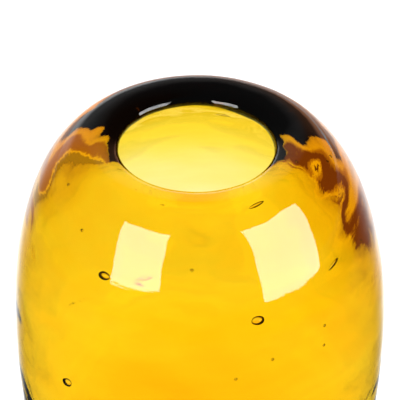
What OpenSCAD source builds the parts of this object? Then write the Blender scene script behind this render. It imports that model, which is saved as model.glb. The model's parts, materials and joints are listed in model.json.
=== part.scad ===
// Mouth-blown bud vase in thick amber glass: a round bulb with a heavy rolled rim, a small
// mouth, a thick foot pushed up a little underneath, and gas bubbles trapped in the wall.
// Millimetres, +Z up. The origin is the centre of the ring that the vase stands on.

/* [Body] */
// Height from the foot to the crest of the rim
total_h = 105; // [90:1:130]
// Largest outside diameter
belly_d = 90; // [76:1:110]
// Height of the widest point above the foot
belly_h = 53; // [46:1:60]
// Diameter at which the outside curve runs into the flat of the foot
foot_d = 56; // [46:1:66]
// Inner diameter of the flat ring of the foot
foot_ring_d = 36; // [28:1:40]
// Height of the push-up in the middle of the foot
kick_h = 2.5; // [1:0.5:4]

/* [Mouth] */
// Clear diameter of the mouth
mouth_d = 37; // [30:0.5:42]
// Diameter of the crest, the highest circle of the rolled rim
crest_d = 50; // [47:1:56]
// Height over which the rim rolls over from its crest into the throat
lip_drop = 2.5; // [2:0.5:5]
// Length of the straight throat under the rolled rim
throat_h = 0.5; // [0.5:0.5:5]

/* [Glass thickness] */
// Thickness of the wall at the widest point
wall_t = 3.5; // [3:0.1:6]
// Height of the widest point of the cavity above the foot
cavity_h = 48; // [42:1:56]
// Depth below the throat at which the cavity's ceiling spreads out
ceiling_drop = 1.5; // [0.5:0.5:6]
// Thickness of the glass between the foot's flat ring and the cavity's floor
base_t = 9; // [7:0.5:14]
// Diameter of the flatter middle of the cavity's floor
floor_d = 50; // [36:1:56]

/* [Trapped gas] */
// Diameter of a round bubble
bubble_d = 2.2; // [1.4:0.1:2.4]
// Diameter of a drawn-out bubble
streak_d = 1.2; // [1:0.1:1.6]
// Length of a drawn-out bubble
streak_l = 4; // [3:0.5:5]
// Diameter of a fine seed
seed_d = 1; // [0.8:0.1:1.4]
// Number of fine seeds spread over the back
back_seed_count = 9; // [3:1:16]

/* [Hidden] */

belly_r = belly_d / 2;
mouth_r = mouth_d / 2;
crest_r = crest_d / 2;
foot_r = foot_d / 2;
floor_r = floor_d / 2;
throat_top = total_h - lip_drop;
throat_end = throat_top - throat_h;
inner_r = belly_r - wall_t;
gas_depth = wall_t / 2;
curve_steps = 26;
turn_fn = 180;
bubble_fn = 40;
above_rim = 1;

// How far each end of a curve keeps its direction, as a share of the curve's height or width
SHOULDER_RISE = 0.66;
SHOULDER_REACH = 0.42;
FLANK_FALL = 0.42;
FOOT_REACH = 0.85;
LIP_REACH = 0.6;
CEILING_RISE = 0.77;
CEILING_REACH = 0.84;
FLOOR_FALL = 0.4;
FLOOR_REACH = 0.8;

// Where the gas lies: [turn about the axis, place along the wall]. A turn of -90 is the front.
// The place is -1 at the foot, 0 at the widest point and 1 at the crest of the rim.
ROUND_AT = [[-125, 0.45], [-71, 0.33], [-135, 0.04], [-127, 0], [35, 0.3], [110, -0.25]];
DRAWN_AT = [[-62, 0.9], [-38, 0.41], [80, 0.5], [165, 0.25]];
FRONT_SEEDS_AT = [[-140, 0.58], [-93, 0.55], [-6, 0.32], [-9, 0.29], [-3, 0.76], [-47, 0.23],
    [-48, 0.17], [-67, 0.19], [-79, 0.15], [-160, 0.7]];
BACK_SEED_TURN = 137.5 / 2;
BACK_SEED_LOW = -0.5;
BACK_SEED_HIGH = 0.6;

// A smooth curve from p[0] to p[3], which leaves towards p[1] and arrives from p[2]
function curve(p, t) =
    pow(1 - t, 3) * p[0] + 3 * pow(1 - t, 2) * t * p[1] + 3 * (1 - t) * t * t * p[2] + pow(t, 3) * p[3];

// The curve's direction at t
function heading(p, t) =
    pow(1 - t, 2) * (p[1] - p[0]) + 2 * (1 - t) * t * (p[2] - p[1]) + t * t * (p[3] - p[2]);

function points(p) = [for (i = [0:curve_steps]) curve(p, i / curve_steps)];
function reversed(list) = [for (i = [len(list) - 1:-1:0]) list[i]];
function tail(list) = [for (i = [1:len(list) - 1]) list[i]];

// Outside, from the widest point up to the crest and down to the foot
SHOULDER = [
    [belly_r, belly_h],
    [belly_r, belly_h + SHOULDER_RISE * (total_h - belly_h)],
    [crest_r + SHOULDER_REACH * (belly_r - crest_r), total_h],
    [crest_r, total_h]];
FLANK = [
    [belly_r, belly_h],
    [belly_r, belly_h * (1 - FLANK_FALL)],
    [foot_r + FOOT_REACH * (belly_r - foot_r), 0],
    [foot_r, 0]];

// Rolled lip, from the crest into the throat
LIP = [
    [crest_r, total_h],
    [crest_r - LIP_REACH * (crest_r - mouth_r), total_h],
    [mouth_r, throat_top + LIP_REACH * lip_drop],
    [mouth_r, throat_top]];

// Cavity, from the widest point up to the throat and down to the floor
CEILING = [
    [inner_r, cavity_h],
    [inner_r, cavity_h + CEILING_RISE * (throat_end - cavity_h)],
    [mouth_r + (1 - CEILING_REACH) * (inner_r - mouth_r), throat_end - ceiling_drop],
    [mouth_r, throat_end]];
FLOOR = [
    [inner_r, cavity_h],
    [inner_r, cavity_h - FLOOR_FALL * (cavity_h - base_t)],
    [floor_r + FLOOR_REACH * (inner_r - floor_r), base_t],
    [floor_r, base_t]];

// A point that far under the outside, at a place along the wall
function under_skin(place, depth) =
    let (side = place < 0 ? FLANK : SHOULDER,
         way = heading(side, abs(place)),
         out = sign(way[1]) * [way[1], -way[0]] / norm(way))
    curve(side, abs(place)) - depth * out;

module outside() {
    rotate_extrude($fn = turn_fn)
        polygon(concat([[0, 0]], reversed(points(FLANK)), tail(points(SHOULDER)), [[0, total_h]]));
}

// Mouth, throat and cavity in one piece, open at the top
module inside() {
    rotate_extrude($fn = turn_fn)
        polygon(concat([[0, base_t]], reversed(points(FLOOR)), tail(points(CEILING)),
            reversed(points(LIP)), [[crest_r, total_h + above_rim], [0, total_h + above_rim]]));
}

// Shallow spherical dish that lifts the middle of the foot off the surface
module push_up() {
    dish_r = (pow(foot_ring_d / 2, 2) + kick_h * kick_h) / (2 * kick_h);
    translate([0, 0, kick_h - dish_r]) sphere(r = dish_r, $fn = turn_fn);
}

module in_wall(at) {
    centre = under_skin(at[1], gas_depth);
    rotate([0, 0, at[0]]) translate([centre[0], 0, centre[1]]) children();
}

module round_gas() {
    for (at = ROUND_AT) in_wall(at) sphere(d = bubble_d, $fn = bubble_fn);
}

// Bubbles drawn out level round the vase, with round ends
module drawn_gas() {
    half = (streak_l - streak_d) / 2;
    for (at = DRAWN_AT) in_wall(at) {
        rotate([90, 0, 0]) cylinder(d = streak_d, h = 2 * half, center = true, $fn = bubble_fn);
        for (end = [-1, 1]) translate([0, end * half, 0]) sphere(d = streak_d, $fn = bubble_fn);
    }
}

module seed_gas() {
    step = (BACK_SEED_HIGH - BACK_SEED_LOW) / (back_seed_count - 1);
    back = [for (i = [0:back_seed_count - 1])
        [(i * BACK_SEED_TURN) % 180, BACK_SEED_LOW + i * step]];
    for (at = concat(FRONT_SEEDS_AT, back)) in_wall(at) sphere(d = seed_d, $fn = bubble_fn);
}

module glass_body() {
    color([0.95, 0.68, 0.05, 0.6]) difference() {
        outside();
        inside();
        push_up();
        round_gas();
        drawn_gas();
        seed_gas();
    }
}

module round_bubbles() {
    color([1, 0.93, 0.7]) round_gas();
}

module drawn_bubbles() {
    color([1, 0.9, 0.62]) drawn_gas();
}

module fine_seeds() {
    color([1, 0.96, 0.8]) seed_gas();
}

glass_body();
round_bubbles();
drawn_bubbles();
fine_seeds();
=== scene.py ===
"""A mouth-blown bud vase in thick amber glass, with bubbles, on a plain pale studio floor."""

import json
import math

import bmesh
import bpy
from bpy.props import FloatProperty, FloatVectorProperty, PointerProperty
from bpy.types import Operator, Panel, PropertyGroup
from mathutils import Matrix, Quaternion, Vector, noise
from mathutils.geometry import interpolate_bezier


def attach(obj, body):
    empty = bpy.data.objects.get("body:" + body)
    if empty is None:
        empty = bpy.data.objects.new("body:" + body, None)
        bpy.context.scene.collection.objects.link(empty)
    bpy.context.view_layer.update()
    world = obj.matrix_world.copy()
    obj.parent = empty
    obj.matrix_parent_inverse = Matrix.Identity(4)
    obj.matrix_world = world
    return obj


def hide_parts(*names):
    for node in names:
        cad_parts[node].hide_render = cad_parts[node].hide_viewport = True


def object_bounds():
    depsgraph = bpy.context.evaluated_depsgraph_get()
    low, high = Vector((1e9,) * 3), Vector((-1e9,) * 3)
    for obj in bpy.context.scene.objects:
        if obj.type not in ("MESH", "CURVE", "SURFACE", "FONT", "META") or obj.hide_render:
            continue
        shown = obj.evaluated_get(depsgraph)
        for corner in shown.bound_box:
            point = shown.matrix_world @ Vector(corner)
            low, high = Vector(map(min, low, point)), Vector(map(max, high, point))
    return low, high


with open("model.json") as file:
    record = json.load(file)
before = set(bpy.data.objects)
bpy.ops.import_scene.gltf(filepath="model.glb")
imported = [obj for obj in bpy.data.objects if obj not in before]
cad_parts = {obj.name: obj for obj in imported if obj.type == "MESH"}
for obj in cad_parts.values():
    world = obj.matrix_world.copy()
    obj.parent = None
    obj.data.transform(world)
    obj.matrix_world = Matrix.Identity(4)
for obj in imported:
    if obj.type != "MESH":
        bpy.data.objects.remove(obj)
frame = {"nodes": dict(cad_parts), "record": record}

bl_info = {
    "name": "Blown Bud Vase",
    "version": (1, 0, 0),
    "blender": (4, 5, 0),
    "location": "3D View > Sidebar > Bud Vase",
    "description": "Blows an amber glass bud vase with trapped bubbles, on a studio floor",
    "category": "Add Mesh",
}

CAD_LOW, CAD_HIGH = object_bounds()
MOUNTS = {mount["name"]: mount for mount in frame["record"]["mounts"]}
MM = 0.001
WHITE = (1, 1, 1, 1)
# Painted warm shade: the colour of the painted dark cards and of light after bounces inside the
# glass, seen only in the glass
PAINTED_WARM_SHADE = (1, 0.45, 0.25, 1)

# How far each end of a profile curve keeps its direction, as a share of its height or width
SHOULDER_RISE, SHOULDER_REACH = 0.66, 0.42
FLANK_FALL, FOOT_REACH = 0.42, 0.85
LIP_REACH = 0.6
CEILING_RISE, CEILING_REACH = 0.77, 0.84
FLOOR_FALL, FLOOR_REACH = 0.4, 0.8
CURVE_STEPS = 44
LIP_STEPS = 14
TURN_STEPS = 224
DISH_STEPS = 8

# Waves in the glass: width, height, share of the wave's height, and a start in the noise
WAVES = ((0.024, 0.010, 1.0, 0.0), (0.009, 0.004, 0.5, 3.0), (0.004, 0.002, 0.12, 11.0))
CAVITY_START = 7.0

# Heights between which the foot stays flat, and the cavity shifts and shifts back
FLAT_FOOT = (0.004, 0.012)
THIN_BACK = (0.035, 0.060, 0.068, 0.090)
THICK_RIGHT = (0.050, 0.070, 0.085, 0.100)
RIGHT_SHARE = 0.6

# Shares of a packed bubble's size: height, length against height, depth, and how far it leans
ROUND_FORM = (1.0, 1.4, 0.8, 0.6)
DRAWN_FORM = (0.9, 3.6, 0.7, 0.8)
SEED_FORM = (0.7, 1.1, 0.9, 0.3)

# Softboxes: turn and rise from the front and roll, in degrees, then width and height
SOFTBOXES = {"left_softbox": (-41, 24, 7, 0.61, 0.81), "right_softbox": (63, 20, -8, 0.81, 0.91)}


class VaseShape(PropertyGroup):
    """Sizes of the blown vase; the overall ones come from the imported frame"""

    height: FloatProperty(name="Height", description="Foot to the crest of the rim",
                          default=CAD_HIGH.z, unit="LENGTH")
    belly_radius: FloatProperty(name="Belly radius", description="Largest outside radius",
                                default=CAD_HIGH.x, unit="LENGTH")
    belly_height: FloatProperty(name="Belly height", description="Height of the widest point",
                                default=0.053, unit="LENGTH")
    mouth_radius: FloatProperty(name="Mouth radius", description="Clear radius of the throat",
                                default=MOUNTS["mouth"]["dims"]["r_mm"] * MM, unit="LENGTH")
    crest_radius: FloatProperty(name="Crest radius", default=0.025, unit="LENGTH",
                                description="Radius of the rim's highest circle")
    lip_drop: FloatProperty(name="Lip drop", default=0.0025, unit="LENGTH",
                            description="How far the rim rolls down into the throat")
    throat: FloatProperty(name="Throat", description="Length of the straight throat",
                          default=0.0005, unit="LENGTH")
    wall: FloatProperty(name="Wall", description="Thickness of the glass at the belly",
                        default=0.0035, unit="LENGTH")
    cavity_height: FloatProperty(name="Cavity height", description="Height of its widest point",
                                 default=0.048, unit="LENGTH")
    ceiling_drop: FloatProperty(name="Ceiling drop", default=0.0015, unit="LENGTH",
                                description="Depth at which the ceiling spreads out")
    foot_radius: FloatProperty(name="Foot radius", default=0.028, unit="LENGTH",
                               description="Outer radius of the foot's flat ring")
    ring_radius: FloatProperty(name="Push-up radius", default=0.018, unit="LENGTH",
                               description="Inner radius of the foot's flat ring")
    kick: FloatProperty(name="Push-up", default=0.0025, unit="LENGTH",
                        description="How far the middle of the foot is pushed up")
    base: FloatProperty(name="Base", description="Thickness of the glass under the cavity",
                        default=0.009, unit="LENGTH")
    floor_radius: FloatProperty(name="Floor radius", default=0.025, unit="LENGTH",
                                description="Radius of the cavity's flatter floor")
    cavity_shift: FloatProperty(name="Cavity shift", default=0.0016, unit="LENGTH",
                                description="How far back the cavity's middle lies")
    mouth_shift: FloatProperty(name="Mouth shift", default=-0.0008, unit="LENGTH",
                               description="How far the mouth sits off the axis")


class VaseGlass(PropertyGroup):
    """How the glass swallows light, and how uneven the blowing left it"""

    absorbed: FloatVectorProperty(name="Absorption", default=(5.0, 53.0, 490.0), size=3,
                                  description="Red, green and blue light lost, per metre")
    ior: FloatProperty(name="Index of refraction", default=1.5,
                       description="Of soda-lime glass")
    gas_ior: FloatProperty(name="Gas index", default=0.76,
                           description="Step at a bubble's skin, softer than real gas has")
    outer_wave: FloatProperty(name="Outer wave", description="Height of the waves outside",
                              default=0.00012, unit="LENGTH")
    inner_wave: FloatProperty(name="Inner wave", default=0.0005, unit="LENGTH",
                              description="Height of the waves in the cavity")


class VaseStage(PropertyGroup):
    """Floor, surroundings, softboxes and camera"""

    white: FloatProperty(name="White", description="Brightness of the lit floor", default=1.09)
    paper: FloatProperty(name="Paper", default=1.25,
                         description="Brightness of the plain surroundings")
    # Painted reflection: rays that the glass mirrors see the floor and surroundings at these
    # brightnesses, apart from what the camera sees
    glare: FloatProperty(name="Glare", default=1.2,
                         description="Brightness far behind, where the glass mirrors it")
    haze: FloatProperty(name="Haze", default=0.06,
                        description="Brightness elsewhere, where the glass mirrors it")
    # Painted contact shadow: the glowing floor is made darker under the foot, also where the camera
    # sees it
    contact: FloatProperty(name="Contact shade", default=0.6, subtype="FACTOR",
                           description="Share of light left under the foot")
    # Painted pool of light: the floor beside the foot is made brighter where the glass looks at it,
    # standing in for the light the glass would gather
    pool: FloatProperty(name="Pool", default=1.2,
                        description="Gain of the light that the glass gathers beside its foot")
    # Painted dark cards: the floor card and the backdrop card darken and warm only what the glass
    # shows; the camera sees plain paper there
    dark: FloatProperty(name="Dark", description="Share of light left on the card on the floor",
                        default=0.45, subtype="FACTOR")
    card_near: FloatProperty(name="Card near", description="How far right the dark card starts",
                             default=0.22, unit="LENGTH")
    card_far: FloatProperty(name="Card far", description="How far right the dark card ends",
                            default=0.7, unit="LENGTH")
    backdrop: FloatProperty(name="Backdrop", default=0.35, subtype="FACTOR",
                            description="Share of light left on the card behind")
    backdrop_top: FloatProperty(name="Backdrop top", default=math.radians(37.0), subtype="ANGLE",
                                description="Elevation at which the backdrop ends")
    # Painted shade: the floor and surroundings send less light to rays that have bounced inside the
    # glass, none after this many bounces; it darkens the glass beyond its absorption
    bounces: FloatProperty(name="Bounces", default=1.9,
                           description="Bounces in the glass that lose all the light")
    softbox: FloatProperty(name="Softbox", default=12.5,
                           description="Brightness of the two softboxes")
    elevation: FloatProperty(name="Camera elevation", default=math.radians(36.0), subtype="ANGLE",
                             description="How far the camera looks down")
    distance: FloatProperty(name="Camera distance", description="From the camera to the mouth",
                            default=0.7, unit="LENGTH")


class Socket:
    """A node's output, or a number, in arithmetic that adds Math nodes"""

    def __init__(self, tree, source):
        self.tree = tree
        self.source = source

    def math(self, operation, first, second):
        node = self.tree.add("ShaderNodeMath", {"operation": operation}, {0: first, 1: second})
        return Socket(self.tree, node.outputs[0])

    def __add__(self, other):
        return self.math("ADD", self, other)

    def __radd__(self, other):
        return self.math("ADD", other, self)

    def __sub__(self, other):
        return self.math("SUBTRACT", self, other)

    def __rsub__(self, other):
        return self.math("SUBTRACT", other, self)

    def __mul__(self, other):
        return self.math("MULTIPLY", self, other)

    def __rmul__(self, other):
        return self.math("MULTIPLY", other, self)

    def __truediv__(self, other):
        return self.math("DIVIDE", self, other)

    def __abs__(self):
        return self.math("ABSOLUTE", self, 0.0)

    def at_least(self, other):
        return self.math("MAXIMUM", self, other)


class Tree:
    """A node tree that is filled one node at a time"""

    def __init__(self, owner):
        owner.use_nodes = True
        self.tree = owner.node_tree
        self.tree.nodes.clear()

    def add(self, kind, settings=None, sockets=None):
        """Adds a node: its settings first, then its sockets, each from a value or another socket"""
        node = self.tree.nodes.new(kind)
        for name, value in (settings or {}).items():
            setattr(node, name, value)
        for name, value in (sockets or {}).items():
            if isinstance(value, Socket):
                value = value.source
            if isinstance(value, bpy.types.NodeSocket):
                self.tree.links.new(value, node.inputs[name])
            else:
                node.inputs[name].default_value = value
        return node

    def out(self, kind, settings=None, sockets=None, output=0):
        """Adds a node and gives one of its outputs, ready for arithmetic"""
        return Socket(self, self.add(kind, settings, sockets).outputs[output])

    def ramp(self, value, low, high, start=0.0, end=1.0):
        """Goes smoothly from start at low to end at high"""
        return self.out("ShaderNodeMapRange", {"interpolation_type": "SMOOTHSTEP"}, {
            "Value": value, "From Min": low, "From Max": high, "To Min": start, "To Max": end})

    def choose(self, share, first, second):
        """first where share is 0, second where it is 1"""
        return self.out("ShaderNodeMix", {"data_type": "FLOAT"}, {0: share, 2: first, 3: second})

    def blend_colours(self, share, first, second):
        mixed = self.add("ShaderNodeMix", {"data_type": "RGBA"}, {0: share, 6: first, 7: second})
        return mixed.outputs[2]

    def streaks(self, stretch, scale, detail=3.0, rough=0.5):
        """Noise on the object's own coordinates, stretched level round the vase"""
        place = self.add("ShaderNodeTexCoord").outputs["Object"]
        place = self.add("ShaderNodeMapping", None, {"Vector": place, "Scale": (1, 1, stretch)})
        return self.out("ShaderNodeTexNoise", None, {
            "Vector": place.outputs[0], "Scale": scale, "Detail": detail, "Roughness": rough})


def curve(start, start_handle, end_handle, end, steps):
    """Points along one profile curve, each (radius, height)"""
    ends = [Vector((x, z)) for x, z in (start, start_handle, end_handle, end)]
    return [tuple(point) for point in interpolate_bezier(*ends, steps + 1)]


def profile(shape):
    """The outline of the glass as (radius, height, 0 outside or 1 in the cavity)"""
    top, belly, widest = shape.height, shape.belly_height, shape.belly_radius
    inner = widest - shape.wall
    mouth, crest, foot = shape.mouth_radius, shape.crest_radius, shape.foot_radius
    throat_top = top - shape.lip_drop
    throat_end = throat_top - shape.throat
    dish = (shape.ring_radius ** 2 + shape.kick ** 2) / (2 * shape.kick)
    push_up = []
    for step in range(DISH_STEPS + 1):
        radius = shape.ring_radius * step / DISH_STEPS
        push_up.append((radius, shape.kick - dish + math.sqrt(dish ** 2 - radius ** 2)))
    flank = curve((foot, 0), (foot + FOOT_REACH * (widest - foot), 0),
                  (widest, belly * (1 - FLANK_FALL)), (widest, belly), CURVE_STEPS)
    shoulder = curve((widest, belly), (widest, belly + SHOULDER_RISE * (top - belly)),
                     (crest + SHOULDER_REACH * (widest - crest), top), (crest, top), CURVE_STEPS)
    lip = curve((crest, top), (crest - LIP_REACH * (crest - mouth), top),
                (mouth, throat_top + LIP_REACH * shape.lip_drop), (mouth, throat_top), LIP_STEPS)
    hollow = shape.cavity_height
    ceiling = curve((mouth, throat_end),
                    (inner - CEILING_REACH * (inner - mouth), throat_end - shape.ceiling_drop),
                    (inner, hollow + CEILING_RISE * (throat_end - hollow)), (inner, hollow),
                    CURVE_STEPS)
    floor = curve((inner, hollow), (inner, hollow - FLOOR_FALL * (hollow - shape.base)),
                  (shape.floor_radius + FLOOR_REACH * (inner - shape.floor_radius), shape.base),
                  (shape.floor_radius, shape.base), CURVE_STEPS)
    middle = [(shape.floor_radius / 2, shape.base), (0, shape.base)]
    outside = push_up + flank + shoulder[1:] + lip[1:]
    cavity = ceiling + floor[1:] + middle
    return [(r, z, 0.0) for r, z in outside] + [(r, z, 1.0) for r, z in cavity]


def spin_profile(points):
    """Turns a profile into a closed body of revolution, with each vertex's side kept"""
    bm = bmesh.new()
    side = bm.verts.layers.float.new("cavity_side")
    outline = [bm.verts.new((r, 0, z)) for r, z, _ in points]
    for vertex, (_, _, inside) in zip(outline, points):
        vertex[side] = inside
    edges = [bm.edges.new(pair) for pair in zip(outline, outline[1:])]
    bmesh.ops.spin(bm, geom=outline + edges, cent=(0, 0, 0), axis=(0, 0, 1),
                   angle=math.tau, steps=TURN_STEPS, use_merge=True)
    bmesh.ops.remove_doubles(bm, verts=bm.verts, dist=1e-6)
    bmesh.ops.recalc_face_normals(bm, faces=bm.faces)
    return bm, side


def swell(place, width, height, seed):
    """Smooth unevenness between about -1 and 1, wider than it is high"""
    return noise.noise(Vector((place.x / width, place.y / width, place.z / height + seed)))


def smooth_share(value, low, high):
    """0 below low, 1 above high, smooth between"""
    share = min(1.0, max(0.0, (value - low) / (high - low)))
    return share * share * (3 - 2 * share)


def smooth_hump(value, low, full, fall, high):
    """1 between full and fall, and smoothly down to 0 at low and at high"""
    return smooth_share(value, low, full) * (1 - smooth_share(value, fall, high))


def make_piece(name, bm, material, node_name):
    """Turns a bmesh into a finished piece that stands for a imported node"""
    mesh = bpy.data.meshes.new(name)
    for face in bm.faces:
        face.smooth = True
    bm.to_mesh(mesh)
    bm.free()
    mesh.materials.append(material)
    piece = bpy.data.objects.new(name, mesh)
    bpy.context.scene.collection.objects.link(piece)
    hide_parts(node_name)
    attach(piece, "root")
    return piece


def amber_glass(glass):
    """Clear glass coloured through: the volume takes the light, the surface has faint cords"""
    material = bpy.data.materials.new("amber_glass")
    tree = Tree(material)
    cords = tree.streaks(4.5, 70.0)
    tint = tree.blend_colours(tree.ramp(cords, 0.35, 0.7), (1, 1, 1, 1), (1, 0.965, 0.9, 1))
    fine = tree.streaks(3.0, 420.0, 2.0)
    bump = tree.out("ShaderNodeBump", None, {"Strength": 0.12, "Distance": 0.0001, "Height": fine})
    rough = tree.ramp(tree.streaks(1.0, 900.0), 0.62, 0.75, 0.0, 0.03)
    surface = tree.add("ShaderNodeBsdfPrincipled", None, {
        "Base Color": tint, "Roughness": rough, "IOR": glass.ior,
        "Transmission Weight": 1.0, "Normal": bump})
    most = max(glass.absorbed)
    passed = [1 - lost / most for lost in glass.absorbed]
    volume = tree.add("ShaderNodeVolumeAbsorption", None, {
        "Color": (*passed, 1), "Density": most})
    tree.add("ShaderNodeOutputMaterial", None, {
        "Surface": surface.outputs[0], "Volume": volume.outputs[0]})
    return material


def gas_skin(name, glass, tint):
    """The wall of a bubble, seen from the glass: light passes into thinner gas"""
    material = bpy.data.materials.new(name)
    tree = Tree(material)
    patches = tree.streaks(1.0, 1400.0)
    colour = tree.blend_colours(tree.ramp(patches, 0.4, 0.7), (1, 1, 1, 1), tint)
    surface = tree.add("ShaderNodeBsdfGlass", None, {
        "Color": colour, "Roughness": 0.0, "IOR": glass.gas_ior})
    tree.add("ShaderNodeOutputMaterial", None, {"Surface": surface.outputs[0]})
    return material


class VASE_OT_glass_body(Operator):
    """Blow the vase: an uneven closed wall with a rolled rim, a thick foot and a cavity"""

    bl_idname = "vase.glass_body"
    bl_label = "Glass Body"

    def execute(self, context):
        shape = context.scene.vase_shape
        glass = context.scene.vase_glass
        bm, side = spin_profile(profile(shape))
        bm.normal_update()
        for vertex in bm.verts:
            place, inside = vertex.co.copy(), vertex[side]
            start = CAVITY_START * inside
            wave = sum(share * swell(place, width, height, start + seed)
                       for width, height, share, seed in WAVES)
            crest = glass.outer_wave + inside * (glass.inner_wave - glass.outer_wave)
            vertex.co += vertex.normal * crest * wave * smooth_share(place.z, *FLAT_FOOT)
            to_top = smooth_share(place.z, shape.belly_height, shape.height)
            vertex.co.x += shape.mouth_shift * to_top
            shift = shape.cavity_shift * inside
            vertex.co.y += shift * smooth_hump(place.z, *THIN_BACK)
            vertex.co.x -= RIGHT_SHARE * shift * smooth_hump(place.z, *THICK_RIGHT)
        make_piece("blown_glass_body", bm, amber_glass(glass), "glass_body")
        return {"FINISHED"}


def islands(node_name):
    """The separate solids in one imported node, each as (lowest, highest) corner"""
    bm = bmesh.new()
    bm.from_mesh(frame["nodes"][node_name].data)
    bmesh.ops.remove_doubles(bm, verts=bm.verts, dist=1e-6)
    left = set(bm.verts)
    found = []
    while left:
        group, edge = set(), [left.pop()]
        while edge:
            vertex = edge.pop()
            group.add(vertex)
            for link in vertex.link_edges:
                other = link.other_vert(vertex)
                if other in left:
                    left.remove(other)
                    edge.append(other)
        xs, ys, zs = zip(*(vertex.co for vertex in group))
        found.append((Vector((min(xs), min(ys), min(zs))), Vector((max(xs), max(ys), max(zs)))))
    bm.free()
    return sorted(found, key=lambda box: tuple(box[0]))


def blow_bubbles(node_name, form):
    """An uneven closed bubble at each solid of a node, drawn out level round the vase"""
    size_share, length_share, flatness, tilt = form
    dent, dent_size = 0.18, 1.4
    bm = bmesh.new()
    for number, (low, high) in enumerate(islands(node_name)):
        middle = (low + high) / 2
        radius = (high.z - low.z) / 2 * size_share
        length = radius * length_share
        turn = math.atan2(middle.y, middle.x)
        out = math.hypot(middle.x, middle.y)
        own = bmesh.ops.create_uvsphere(bm, u_segments=24, v_segments=16, radius=1.0)["verts"]
        lean = Matrix.Rotation(tilt * noise.noise(Vector((number, 5.5, 0))), 3, "X")
        for vertex in own:
            x, y, z = vertex.co
            place = Vector((x * radius * flatness, y * length, z * radius))
            place *= 1 + dent * swell(Vector((x + number, y, z)), dent_size, dent_size, 2)
            place = lean @ place
            angle = turn + place.y / out
            reach = out + place.x
            vertex.co = (reach * math.cos(angle), reach * math.sin(angle), middle.z + place.z)
    bmesh.ops.recalc_face_normals(bm, faces=bm.faces)
    return bm


class VASE_OT_round_bubbles(Operator):
    """Trap the round bubbles, a little longer than they are high"""

    bl_idname = "vase.round_bubbles"
    bl_label = "Round Bubbles"

    def execute(self, context):
        skin = gas_skin("round_gas", context.scene.vase_glass, (1, 0.97, 0.9, 1))
        bm = blow_bubbles("round_bubbles", ROUND_FORM)
        make_piece("round_gas_bubbles", bm, skin, "round_bubbles")
        return {"FINISHED"}


class VASE_OT_drawn_bubbles(Operator):
    """Trap the bubbles that the turning of the pipe drew out"""

    bl_idname = "vase.drawn_bubbles"
    bl_label = "Drawn Bubbles"

    def execute(self, context):
        skin = gas_skin("drawn_gas", context.scene.vase_glass, (1, 0.96, 0.88, 1))
        bm = blow_bubbles("drawn_bubbles", DRAWN_FORM)
        make_piece("drawn_gas_bubbles", bm, skin, "drawn_bubbles")
        return {"FINISHED"}


class VASE_OT_fine_seeds(Operator):
    """Trap the fine seeds"""

    bl_idname = "vase.fine_seeds"
    bl_label = "Fine Seeds"

    def execute(self, context):
        skin = gas_skin("seed_gas", context.scene.vase_glass, (1, 0.97, 0.92, 1))
        bm = blow_bubbles("fine_seeds", SEED_FORM)
        make_piece("fine_gas_seeds", bm, skin, "fine_seeds")
        return {"FINISHED"}


class VASE_OT_studio(Operator):
    """Set up the pale floor, the surroundings, the softboxes and the camera"""

    bl_idname = "vase.studio"
    bl_label = "Studio"

    def execute(self, context):
        stage = context.scene.vase_stage
        lay_floor(stage)
        hang_backdrop(context.scene, stage)
        for name, (turn, rise, roll, width, height) in SOFTBOXES.items():
            softbox(name, turn, rise, roll, width, height, stage.softbox)
        place_camera(context.scene, stage)
        context.scene.view_settings.view_transform = "Standard"
        cycles = context.scene.cycles
        cycles.max_bounces = 32
        cycles.transmission_bounces = 32
        cycles.glossy_bounces = 16
        cycles.sample_clamp_indirect = 10
        return {"FINISHED"}


def light_seen(tree, stage, through, mirrored, plain, wasted=1.0):
    """What a ray finds, painted by the kind of ray: plain paper straight from the camera, a painted
    reflection, mostly dark, where the glass mirrors it, and painted shade that leaves less light
    after each bounce inside the glass, sooner where more is wasted"""
    rays = tree.add("ShaderNodeLightPath").outputs
    # Painted shade: less light for rays that have bounced inside the glass
    painted_bounce_light_share = tree.out("ShaderNodeMapRange", None, {
        "Value": rays["Glossy Depth"], "From Min": 1 - wasted,
        "From Max": stage.bounces, "To Min": 1.0, "To Max": 0.0})
    # Painted reflection: rays that the glass mirrors see their own, mostly dark, surroundings
    strength = tree.choose(rays["Is Reflection Ray"], through * painted_bounce_light_share, mirrored)
    return tree.choose(rays["Is Camera Ray"], strength, plain)


def light_colour(tree, dark, painted_warmth_share=0.0):
    """White, or a painted warm shade on the painted dark cards and after a bounce inside the glass;
    white again straight from the camera"""
    rays = tree.add("ShaderNodeLightPath").outputs
    # Painted warm shade for rays that have bounced inside the glass
    painted_bounce_warmth = tree.ramp(rays["Glossy Depth"], 0.4, 0.6) * painted_warmth_share
    share = painted_bounce_warmth.at_least(dark) * (1 - Socket(tree, rays["Is Camera Ray"]))
    return tree.blend_colours(share, WHITE, PAINTED_WARM_SHADE)


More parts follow.
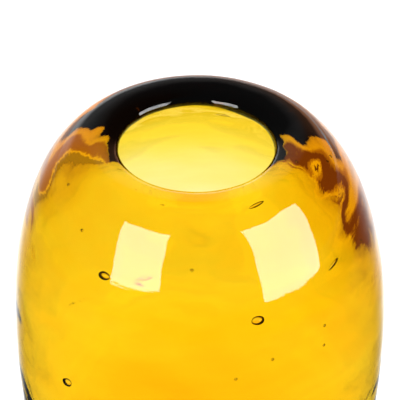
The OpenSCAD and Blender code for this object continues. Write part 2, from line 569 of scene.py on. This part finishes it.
def lay_floor(stage):
    """A wide white glowing floor with a painted soft shadow under the foot and a painted pool of
    light beside it, seen through the glass; a painted dark card, seen only in the glass, lies to
    the right
    """
    below_foot, reach = Matrix.Translation((0, 0, -0.0002)), 6
    bm = bmesh.new()
    bmesh.ops.create_grid(bm, x_segments=1, y_segments=1, size=reach, matrix=below_foot)
    mesh = bpy.data.meshes.new("studio_floor")
    bm.to_mesh(mesh)
    bm.free()
    material = bpy.data.materials.new("pale_floor")
    tree = Tree(material)
    place = tree.add("ShaderNodeTexCoord").outputs["Object"]
    apart = tree.add("ShaderNodeSeparateXYZ", None, {0: place})
    along, back = (Socket(tree, apart.outputs[axis]) for axis in "XY")
    away = tree.out("ShaderNodeVectorMath", {"operation": "LENGTH"}, {0: place}, "Value")
    near, far = stage.card_near, stage.card_far
    # Painted dark card: it darkens and warms only what the glass shows; the camera sees plain paper
    # there
    card = tree.ramp(along, near, near * 1.35) * tree.ramp(along, far * 1.1, far)
    card = card * tree.ramp(back, -0.4, -0.2) * tree.ramp(back, 1.2, 1.0)
    beside = (abs(along) - 0.03).at_least(0.001)
    # Painted reflection: the floor that the glass mirrors, bright far behind the vase and dim
    # elsewhere
    mirrored = tree.ramp(back / beside, 0.6, 2.0, stage.haze, stage.glare)
    # Painted contact shadow under the foot, on the paper that the camera sees
    shade = tree.ramp(away, 0.026, 0.06, stage.contact, 1.0)
    # Painted warm shade: a ring of floor that loses its light sooner after bounces inside the glass
    ring = tree.ramp(away, 0.25, 0.38) * tree.ramp(away, 2.4, 0.9)
    # Painted pool of light beside the foot, seen only through the glass
    pool = tree.ramp(away, 0.05, 0.12, stage.pool, 1.0)
    through = (1 - (1 - stage.dark) * card) * pool * stage.white
    strength = light_seen(tree, stage, through, mirrored, shade * stage.paper, ring)
    glow = tree.add("ShaderNodeEmission", None, {
        "Color": light_colour(tree, card, ring * 0.6), "Strength": strength})
    tree.add("ShaderNodeOutputMaterial", None, {"Surface": glow.outputs[0]})
    mesh.materials.append(material)
    floor = bpy.data.objects.new("studio_floor", mesh)
    bpy.context.scene.collection.objects.link(floor)


def hang_backdrop(scene, stage):
    """Plain white surroundings to the camera; to the glass, painted: white up to a painted dark
    ceiling, with a painted dark card behind on the right, and a painted reflection, mostly dark
    with glare far behind
    """
    world = bpy.data.worlds.new("studio")
    scene.world = world
    tree = Tree(world)
    towards = tree.add("ShaderNodeTexCoord").outputs["Generated"]
    apart = tree.add("ShaderNodeSeparateXYZ", None, {0: towards})
    along, back, up = (Socket(tree, apart.outputs[axis]) for axis in "XYZ")
    # Painted dark ceiling, seen only through the glass
    painted_dark_ceiling = 0.09
    # Painted dark card behind on the right, seen only in the glass
    card = tree.ramp(along, -0.1, 0.3) * tree.ramp(back, -0.2, 0.0)
    wall = 1 - (1 - stage.backdrop) * card
    through = tree.choose(tree.ramp(up, 0.0, math.sin(stage.backdrop_top)), wall, painted_dark_ceiling)
    # Painted reflection: glare far behind, haze elsewhere
    mirrored = tree.ramp(back, 0.7, 0.9) * tree.ramp(up, 0.05, 0.25, 1.0, 0.22) * stage.glare
    mirrored = mirrored.at_least(stage.haze)
    strength = light_seen(tree, stage, through * stage.white, mirrored, stage.paper)
    light = tree.add("ShaderNodeBackground", None, {
        "Color": light_colour(tree, card), "Strength": strength})
    tree.add("ShaderNodeOutputWorld", None, {"Surface": light.outputs[0]})


def softbox(name, turn, rise, roll, width, height, brightness):
    """A soft rectangular light a metre away, mirrored once in the glass and seen nowhere else"""
    turn, rise, distance, aim_height = math.radians(turn), math.radians(rise), 1.0, 0.09
    level = math.cos(rise)
    towards = Vector((math.sin(turn) * level, -math.cos(turn) * level, math.sin(rise)))
    light = bpy.data.lights.new(name, "AREA")
    light.shape = "RECTANGLE"
    light.size = width
    light.size_y = height
    light.energy = brightness * math.pi * width * height
    tree = Tree(light)
    rays = tree.add("ShaderNodeLightPath").outputs
    depth = rays["Ray Depth"]
    once = (1 - abs(Socket(tree, rays["Glossy Depth"]) - 1)).at_least(0.0)
    early = tree.ramp(depth, 1.0, 3.0, 1.0, 0.35) * tree.ramp(depth, 3.0, 5.0, 1.0, 0.0)
    glow = tree.add("ShaderNodeEmission", None, {"Strength": once * early})
    tree.add("ShaderNodeOutputLight", None, {"Surface": glow.outputs[0]})
    lamp = bpy.data.objects.new(name, light)
    bpy.context.scene.collection.objects.link(lamp)
    lamp.location = Vector((0, 0, aim_height)) + towards * distance
    aim = (-towards).to_track_quat("-Z", "Y")
    lamp.rotation_euler = (aim @ Quaternion((0, 0, 1), math.radians(roll))).to_euler()


def place_camera(scene, stage):
    """A long lens that looks down into the mouth; the foot falls below the frame"""
    sensor, pixels = 36.0, 400
    scale = 4255.0
    camera = bpy.data.cameras.new("studio_camera")
    camera.sensor_width = sensor
    camera.lens = scale * stage.distance / pixels * sensor
    camera.clip_end = 20
    view = bpy.data.objects.new("studio_camera", camera)
    scene.collection.objects.link(view)
    tilt = math.radians(1.0)
    line = stage.elevation - tilt
    forward = Vector((0, math.cos(line), -math.sin(line)))
    mouth = Vector((0, 0, CAD_HIGH.z - 0.0025))
    view.location = mouth - forward * stage.distance
    aim = Vector((0, math.cos(stage.elevation), -math.sin(stage.elevation)))
    view.rotation_euler = aim.to_track_quat("-Z", "Y").to_euler()
    scene.camera = view


class VASE_PT_panel(Panel):
    """Buttons and sizes in the sidebar"""

    bl_label = "Bud Vase"
    bl_idname = "VASE_PT_panel"
    bl_space_type = "VIEW_3D"
    bl_region_type = "UI"
    bl_category = "Bud Vase"

    def draw(self, context):
        for maker in MAKERS:
            self.layout.operator(maker.bl_idname)
        for group in (context.scene.vase_shape, context.scene.vase_glass, context.scene.vase_stage):
            box = self.layout.box()
            for name in group.__annotations__:
                box.prop(group, name)


MAKERS = (VASE_OT_glass_body, VASE_OT_round_bubbles, VASE_OT_drawn_bubbles, VASE_OT_fine_seeds,
          VASE_OT_studio)
GROUPS = {"vase_shape": VaseShape, "vase_glass": VaseGlass, "vase_stage": VaseStage}


def register():
    for kind in (*GROUPS.values(), *MAKERS, VASE_PT_panel):
        bpy.utils.register_class(kind)
    for name, group in GROUPS.items():
        setattr(bpy.types.Scene, name, PointerProperty(type=group))


def unregister():
    for name in GROUPS:
        delattr(bpy.types.Scene, name)
    for kind in (VASE_PT_panel, *reversed(MAKERS), *reversed(GROUPS.values())):
        bpy.utils.unregister_class(kind)


def main():
    register()
    bpy.ops.vase.glass_body()
    bpy.ops.vase.round_bubbles()
    bpy.ops.vase.drawn_bubbles()
    bpy.ops.vase.fine_seeds()
    bpy.ops.vase.studio()


if __name__ == "__main__":
    main()
